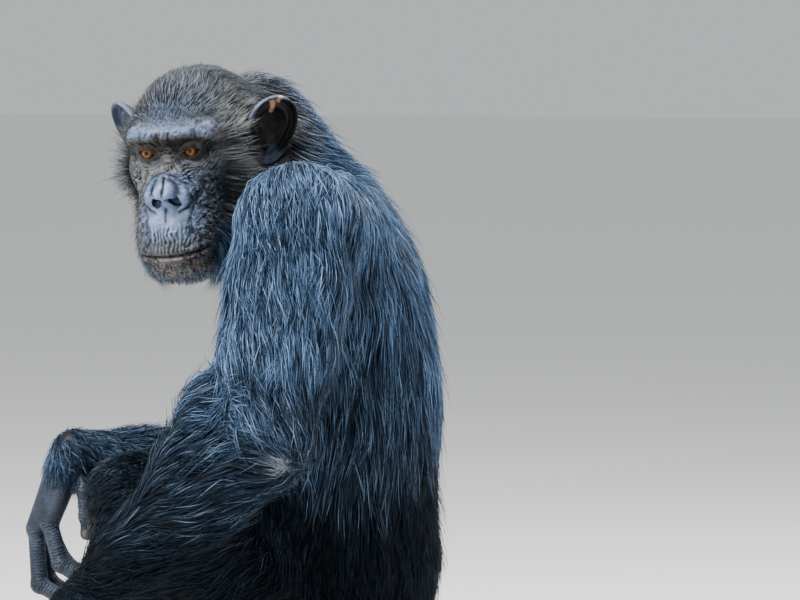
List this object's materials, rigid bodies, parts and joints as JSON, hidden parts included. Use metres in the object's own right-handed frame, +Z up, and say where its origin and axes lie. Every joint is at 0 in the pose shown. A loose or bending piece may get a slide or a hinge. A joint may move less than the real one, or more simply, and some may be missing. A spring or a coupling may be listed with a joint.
{
  "type": "chimpanzee figure",
  "caption": "Life-size museum model of an adult chimpanzee sitting with knees drawn up and forearms by its knees, looking back over its left shoulder.",
  "frame": {"origin": "a point on the floor, on the flat under the seat, midway between the hips", "axes": "+X to the animal's left, -Y the way its hips and feet point, +Z up"},
  "size_m": [0.5941, 0.6794, 0.7316],
  "materials": {
    "coat": "coarse hair with a cool sheen",
    "skin": "creased bare skin",
    "eye": "wet gloss"
  },
  "bodies": {
    "root": {"belly": "coat", "big_toe_left": "skin", "big_toe_right": "skin", "chest": "coat", "ear_left": "skin", "ear_right": "skin", "eye_left": "eye", "eye_right": "eye", "foot_left": "skin", "foot_right": "skin", "forearm_left": "coat", "forearm_right": "coat", "fourth_toe_left": "skin", "fourth_toe_right": "skin", "hand_left": "skin", "hand_right": "skin", "head": "skin", "index_finger_left": "skin", "index_finger_right": "skin", "little_finger_left": "skin", "little_finger_right": "skin", "little_toe_left": "skin", "little_toe_right": "skin", "middle_finger_left": "skin", "middle_finger_right": "skin", "neck": "coat", "pelvis": "coat", "ring_finger_left": "skin", "ring_finger_right": "skin", "second_toe_left": "skin", "second_toe_right": "skin", "shin_left": "coat", "shin_right": "coat", "thigh_left": "coat", "thigh_right": "coat", "third_toe_left": "skin", "third_toe_right": "skin", "thumb_left": "skin", "thumb_right": "skin", "upper_arm_left": "coat", "upper_arm_right": "coat"}
  },
  "joints": []
}
